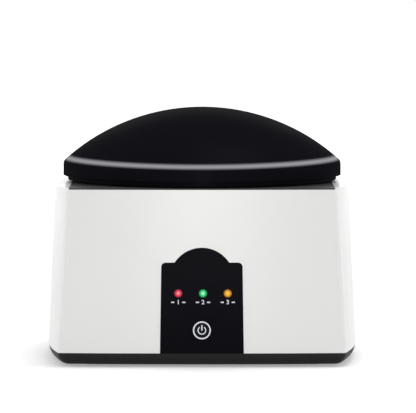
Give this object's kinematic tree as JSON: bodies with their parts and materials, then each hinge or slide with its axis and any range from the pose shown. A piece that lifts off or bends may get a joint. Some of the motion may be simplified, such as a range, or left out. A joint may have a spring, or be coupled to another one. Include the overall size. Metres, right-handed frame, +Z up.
{
  "type": "gel polish remover machine",
  "caption": "Table-top nail steamer: white housing on a black base, hinged black dome lid, lift-out tray with finger ports over a heated cup, black fascia with lamps and push button.",
  "frame": {"origin": "centre of the footprint on the table", "axes": "+Z up, front with the fascia towards -Y, hinge towards +Y, +X to the right of a viewer in front"},
  "size_m": [0.2, 0.1907, 0.161],
  "materials": {
    "white_plastic": "satin",
    "black_plastic": "fine texture",
    "deck_plastic": "satin",
    "gloss_black_plastic": "polished",
    "liner_plastic": "satin",
    "tray_plastic": "satin",
    "chamber_plastic": "plain",
    "black_silicone": "satin",
    "grey_silicone": "matte",
    "foot_rubber": "matte",
    "zinc_steel": "zinc plated",
    "pin_steel": "ground",
    "plate_aluminium": "turned",
    "cup_aluminium": "drawn",
    "element_aluminium": "extruded",
    "phenolic": "moulded",
    "fuse_case": "plain",
    "red_lens": "diffusing",
    "green_lens": "diffusing",
    "amber_lens": "diffusing",
    "red_diode": "clear moulded",
    "green_diode": "clear moulded",
    "amber_diode": "clear moulded",
    "button_plastic": "polished",
    "switch_plastic": "moulded",
    "plunger_plastic": "moulded",
    "board_laminate": "solder resist",
    "chip_epoxy": "moulded",
    "capacitor_sleeve": "sleeved",
    "relay_case": "moulded",
    "terminal_plastic": "moulded",
    "socket_nylon": "moulded",
    "lead_insulation": "extruded",
    "panel_lead_insulation": "extruded"
  },
  "bodies": {
    "housing": {"base_pan": "black_plastic", "rubber_feet": "foot_rubber", "body_shell": "white_plastic", "base_screws": "zinc_steel", "deck_plate": "deck_plastic", "deck_screws": "zinc_steel", "hinge_pin": "pin_steel", "steam_chamber": "chamber_plastic", "chamber_screws": "zinc_steel", "heater_plate": "plate_aluminium", "plate_gasket": "grey_silicone", "ptc_heater": "element_aluminium", "heater_clamp": "zinc_steel", "clamp_screws": "zinc_steel", "thermostat": "phenolic", "thermal_fuse": "fuse_case", "heat_shield": "zinc_steel", "shield_clips": "zinc_steel", "control_panel": "gloss_black_plastic", "lens_red": "red_lens", "led_red": "red_diode", "lens_green": "green_lens", "led_green": "green_diode", "lens_amber": "amber_lens", "led_amber": "amber_diode", "push_switch": "switch_plastic", "control_board": "board_laminate", "board_screws": "zinc_steel", "controller_chip": "chip_epoxy", "power_board": "board_laminate", "capacitors": "capacitor_sleeve", "relay": "relay_case", "buzzer": "chip_epoxy", "terminal_block": "terminal_plastic", "dc_socket": "switch_plastic", "heater_leads": "lead_insulation", "lead_sockets": "socket_nylon", "panel_leads": "panel_lead_insulation"},
    "lid": {"lid_shell": "gloss_black_plastic", "lid_liner": "liner_plastic", "lid_seal": "grey_silicone"},
    "tray": {"finger_tray": "tray_plastic", "tray_underplate": "chamber_plastic", "tray_screws": "zinc_steel", "finger_seal_middle": "black_silicone", "finger_seal_inner_left": "black_silicone", "finger_seal_inner_right": "black_silicone", "finger_seal_outer_left": "black_silicone", "finger_seal_outer_right": "black_silicone"},
    "cap": {"centre_cap": "gloss_black_plastic"},
    "cup": {"reservoir_cup": "cup_aluminium"},
    "button": {"power_button": "button_plastic", "switch_plunger": "plunger_plastic"}
  },
  "joints": [
    {"name": "lid_hinge", "type": "hinge", "parent": "housing", "child": "lid", "pos_m": [0, 0.086, 0.1195], "axis": [-1, 0, 0], "range_deg": [0, 100]},
    {"name": "tray_lift", "type": "slide", "parent": "housing", "child": "tray", "axis": [0, 0, 1], "range_m": [0, 0.012]},
    {"name": "cap_lift", "type": "slide", "parent": "tray", "child": "cap", "axis": [0, 0, 1], "range_m": [0, 0.01]},
    {"name": "cup_lift", "type": "slide", "parent": "housing", "child": "cup", "axis": [0, 0, 1], "range_m": [0, 0.012]},
    {"name": "power_press", "type": "slide", "parent": "housing", "child": "button", "axis": [0, 1, 0], "range_m": [0, 0.001], "stiffness_N_per_m": 1500}
  ]
}
